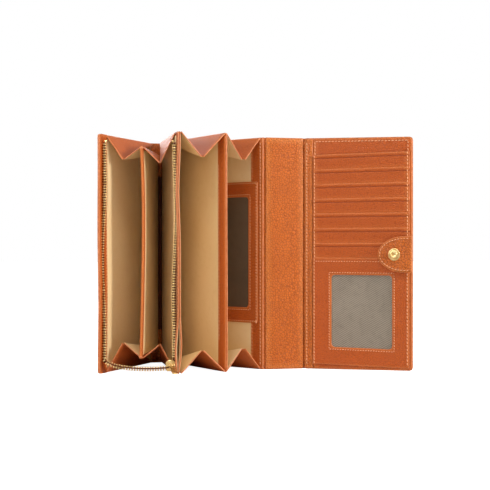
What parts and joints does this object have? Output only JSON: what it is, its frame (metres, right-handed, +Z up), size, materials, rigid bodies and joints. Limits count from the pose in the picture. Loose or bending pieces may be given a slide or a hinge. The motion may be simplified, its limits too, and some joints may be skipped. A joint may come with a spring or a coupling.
{
  "type": "long wallet",
  "caption": "Long accordion wallet with a zipped coin compartment, fanned dividers, and a snap flap holding card slots and an identity window.",
  "frame": {"origin": "on the floor at the foot of the middle divider's hinge line, where the spine stands", "axes": "+Z up along the wallet's length, +X across the fan towards the flap, -Y out of the wallet's mouth"},
  "size_m": [0.2537, 0.1436, 0.2],
  "materials": {
    "grained_leather": "grained",
    "smooth_leather": "smooth",
    "band_leather": "smooth",
    "gusset_leather": "smooth",
    "lining_cloth": "woven",
    "window_mesh": "mesh",
    "zip_tape": "woven",
    "brass": "polished"
  },
  "bodies": {
    "middle_divider": {"spine_cover": "grained_leather", "divider_b_left_wall": "band_leather", "divider_b_right_wall": "band_leather", "divider_b_pocket_lining": "lining_cloth", "divider_b_left_lining": "lining_cloth", "divider_b_right_lining": "lining_cloth", "zip_tape_right": "zip_tape", "zip_teeth_right": "brass"},
    "front_panel": {"front_cover": "grained_leather", "front_lining": "lining_cloth", "front_band": "band_leather", "zip_tape_left": "zip_tape", "zip_teeth_left": "brass", "snap_socket": "brass"},
    "short_divider": {"divider_a_core": "band_leather", "divider_a_linings": "lining_cloth"},
    "third_divider": {"divider_c_core": "band_leather", "divider_c_left_lining": "lining_cloth", "divider_c_right_lining": "lining_cloth", "divider_c_band": "band_leather"},
    "back_panel": {"back_cover": "grained_leather", "back_lining": "lining_cloth", "back_band": "band_leather", "pass_pocket": "band_leather", "pass_window": "window_mesh"},
    "bridge": {"bridge_cover": "grained_leather", "bridge_lining": "smooth_leather"},
    "flap": {"flap_cover": "grained_leather", "slip_pocket_strip": "smooth_leather", "card_backing": "smooth_leather", "card_slot_1": "smooth_leather", "card_slot_2": "smooth_leather", "card_slot_3": "smooth_leather", "card_slot_4": "smooth_leather", "card_slot_5": "smooth_leather", "card_slot_6": "smooth_leather", "card_slot_7": "smooth_leather", "window_panel": "smooth_leather", "window_mesh": "window_mesh", "snap_tab": "smooth_leather", "snap_stud": "brass"},
    "slider": {"zip_slider": "brass"},
    "puller": {"zip_puller": "brass"},
    "gusset_1_top_left_leaf": {"gusset_1_top_left": "gusset_leather"},
    "gusset_1_top_right_leaf": {"gusset_1_top_right": "gusset_leather"},
    "gusset_1_foot_left_leaf": {"gusset_1_foot_left": "gusset_leather"},
    "gusset_1_foot_right_leaf": {"gusset_1_foot_right": "gusset_leather"},
    "gusset_2_top_left_leaf": {"gusset_2_top_left": "gusset_leather"},
    "gusset_2_top_right_leaf": {"gusset_2_top_right": "gusset_leather"},
    "gusset_2_foot_left_leaf": {"gusset_2_foot_left": "gusset_leather"},
    "gusset_2_foot_right_leaf": {"gusset_2_foot_right": "gusset_leather"},
    "gusset_3_top_left_leaf": {"gusset_3_top_left": "gusset_leather"},
    "gusset_3_top_right_leaf": {"gusset_3_top_right": "gusset_leather"},
    "gusset_3_foot_left_leaf": {"gusset_3_foot_left": "gusset_leather"},
    "gusset_3_foot_right_leaf": {"gusset_3_foot_right": "gusset_leather"},
    "gusset_4_top_left_leaf": {"gusset_4_top_left": "gusset_leather"},
    "gusset_4_top_right_leaf": {"gusset_4_top_right": "gusset_leather"},
    "gusset_4_foot_left_leaf": {"gusset_4_foot_left": "gusset_leather"},
    "gusset_4_foot_right_leaf": {"gusset_4_foot_right": "gusset_leather"}
  },
  "joints": [
    {"name": "accordion_fold", "type": "hinge", "parent": "middle_divider", "child": "back_panel", "pos_m": [0.0128, 0, 0], "axis": [0, 0, 1], "range_deg": [-40.4, 0]},
    {"name": "front_panel_fold", "type": "hinge", "parent": "middle_divider", "child": "front_panel", "pos_m": [-0.0128, 0, 0], "axis": [0, 0, 1], "range_deg": [0, 33.02]},
    {"name": "short_divider_fold", "type": "hinge", "parent": "middle_divider", "child": "short_divider", "pos_m": [-0.0064, 0, 0], "axis": [0, 0, 1], "range_deg": [0, 15.62]},
    {"name": "third_divider_fold", "type": "hinge", "parent": "middle_divider", "child": "third_divider", "pos_m": [0.0064, 0, 0], "axis": [0, 0, 1], "range_deg": [-21.22, 0]},
    {"name": "bridge_fold", "type": "hinge", "parent": "back_panel", "child": "bridge", "pos_m": [0.07644, -0.07478, 0], "axis": [0, 0, 1], "range_deg": [-141.62, 0]},
    {"name": "flap_fold", "type": "hinge", "parent": "bridge", "child": "flap", "pos_m": [0.11142, -0.07356, 0], "axis": [0, 0, 1], "range_deg": [-48.5, 41.5]},
    {"name": "zip_slide", "type": "slide", "parent": "middle_divider", "child": "slider", "axis": [0, 0, 1], "range_m": [0, 0.1782]},
    {"name": "zip_puller_swing", "type": "hinge", "parent": "slider", "child": "puller", "pos_m": [-0.0064, -0.0954, 0.00735], "axis": [1, 0, 0], "range_deg": [-102, 0]},
    {"name": "gusset_1_top_left_fold", "type": "hinge", "parent": "front_panel", "child": "gusset_1_top_left_leaf", "pos_m": [-0.01115, -0.00107, 0.1976], "axis": [0.5446, 0.8387, 0], "range_deg": [0, 30.44]},
    {"name": "gusset_1_top_right_fold", "type": "hinge", "parent": "short_divider", "child": "gusset_1_top_right_leaf", "pos_m": [-0.00809, 0.00047, 0.1876], "axis": [0.2689, 0.9632, 0], "range_deg": [-50.87, 0]},
    {"name": "gusset_1_foot_left_fold", "type": "hinge", "parent": "front_panel", "child": "gusset_1_foot_left_leaf", "pos_m": [-0.01115, -0.00107, 0.0004], "axis": [0.5446, 0.8387, 0], "range_deg": [-26.09, 0]},
    {"name": "gusset_1_foot_right_fold", "type": "hinge", "parent": "short_divider", "child": "gusset_1_foot_right_leaf", "pos_m": [-0.00809, 0.00047, 0.0124], "axis": [0.2689, 0.9632, 0], "range_deg": [0, 45.77]},
    {"name": "gusset_2_top_left_fold", "type": "hinge", "parent": "short_divider", "child": "gusset_2_top_left_leaf", "pos_m": [-0.00471, -0.00047, 0.1876], "axis": [0.2689, 0.9632, 0], "range_deg": [0, 42.26]},
    {"name": "gusset_2_top_right_fold", "type": "hinge", "parent": "middle_divider", "child": "gusset_2_top_right_leaf", "pos_m": [-0.00305, 0, 0.1996], "axis": [0, 1, 0], "range_deg": [-22.79, 0]},
    {"name": "gusset_2_foot_left_fold", "type": "hinge", "parent": "short_divider", "child": "gusset_2_foot_left_leaf", "pos_m": [-0.00471, -0.00047, 0.0124], "axis": [0.2689, 0.9632, 0], "range_deg": [-47.13, 0]},
    {"name": "gusset_2_foot_right_fold", "type": "hinge", "parent": "middle_divider", "child": "gusset_2_foot_right_leaf", "pos_m": [-0.00305, 0, 0.0004], "axis": [0, 1, 0], "range_deg": [0, 24.56]},
    {"name": "gusset_3_top_left_fold", "type": "hinge", "parent": "middle_divider", "child": "gusset_3_top_left_leaf", "pos_m": [0.00305, 0, 0.1996], "axis": [0, 1, 0], "range_deg": [0, 38.23]},
    {"name": "gusset_3_top_right_fold", "type": "hinge", "parent": "third_divider", "child": "gusset_3_top_right_leaf", "pos_m": [0.00477, -0.00063, 0.1996], "axis": [-0.3616, 0.9323, 0], "range_deg": [-40.12, 0]},
    {"name": "gusset_3_foot_left_fold", "type": "hinge", "parent": "middle_divider", "child": "gusset_3_foot_left_leaf", "pos_m": [0.00305, 0, 0.0004], "axis": [0, 1, 0], "range_deg": [-41.23, 0]},
    {"name": "gusset_3_foot_right_fold", "type": "hinge", "parent": "third_divider", "child": "gusset_3_foot_right_leaf", "pos_m": [0.00477, -0.00063, 0.0004], "axis": [-0.3616, 0.9323, 0], "range_deg": [0, 43.15]},
    {"name": "gusset_4_top_left_fold", "type": "hinge", "parent": "third_divider", "child": "gusset_4_top_left_leaf", "pos_m": [0.00803, 0.00063, 0.1996], "axis": [-0.3616, 0.9323, 0], "range_deg": [0, 35.57]},
    {"name": "gusset_4_top_right_fold", "type": "hinge", "parent": "back_panel", "child": "gusset_4_top_right_leaf", "pos_m": [0.0113, -0.00128, 0.1976], "axis": [-0.6481, 0.7615, 0], "range_deg": [-36.86, 0]},
    {"name": "gusset_4_foot_left_fold", "type": "hinge", "parent": "third_divider", "child": "gusset_4_foot_left_leaf", "pos_m": [0.00803, 0.00063, 0.0004], "axis": [-0.3616, 0.9323, 0], "range_deg": [-39.82, 0]},
    {"name": "gusset_4_foot_right_fold", "type": "hinge", "parent": "back_panel", "child": "gusset_4_foot_right_leaf", "pos_m": [0.0113, -0.00128, 0.0004], "axis": [-0.6481, 0.7615, 0], "range_deg": [0, 38.35]}
  ],
  "couplings": [
    {"joint": "front_panel_fold", "follows": "accordion_fold", "ratio": -0.81683},
    {"joint": "short_divider_fold", "follows": "accordion_fold", "ratio": -0.38614},
    {"joint": "third_divider_fold", "follows": "accordion_fold", "ratio": 0.52475},
    {"joint": "bridge_fold", "follows": "accordion_fold", "ratio": 3.505},
    {"joint": "zip_puller_swing", "follows": "accordion_fold", "ratio": 2.5248},
    {"joint": "gusset_1_top_left_fold", "follows": "accordion_fold", "ratio": -0.75291},
    {"joint": "gusset_1_top_right_fold", "follows": "accordion_fold", "ratio": 1.2586},
    {"joint": "gusset_1_foot_left_fold", "follows": "accordion_fold", "ratio": 0.64519},
    {"joint": "gusset_1_foot_right_fold", "follows": "accordion_fold", "ratio": -1.1325},
    {"joint": "gusset_2_top_left_fold", "follows": "accordion_fold", "ratio": -1.0454},
    {"joint": "gusset_2_top_right_fold", "follows": "accordion_fold", "ratio": 0.56351},
    {"joint": "gusset_2_foot_left_fold", "follows": "accordion_fold", "ratio": 1.166},
    {"joint": "gusset_2_foot_right_fold", "follows": "accordion_fold", "ratio": -0.6075},
    {"joint": "gusset_3_top_left_fold", "follows": "accordion_fold", "ratio": -0.94575},
    {"joint": "gusset_3_top_right_fold", "follows": "accordion_fold", "ratio": 0.9925},
    {"joint": "gusset_3_foot_left_fold", "follows": "accordion_fold", "ratio": 1.0201},
    {"joint": "gusset_3_foot_right_fold", "follows": "accordion_fold", "ratio": -1.0676},
    {"joint": "gusset_4_top_left_fold", "follows": "accordion_fold", "ratio": -0.87987},
    {"joint": "gusset_4_top_right_fold", "follows": "accordion_fold", "ratio": 0.91196},
    {"joint": "gusset_4_foot_left_fold", "follows": "accordion_fold", "ratio": 0.98506},
    {"joint": "gusset_4_foot_right_fold", "follows": "accordion_fold", "ratio": -0.94886}
  ]
}
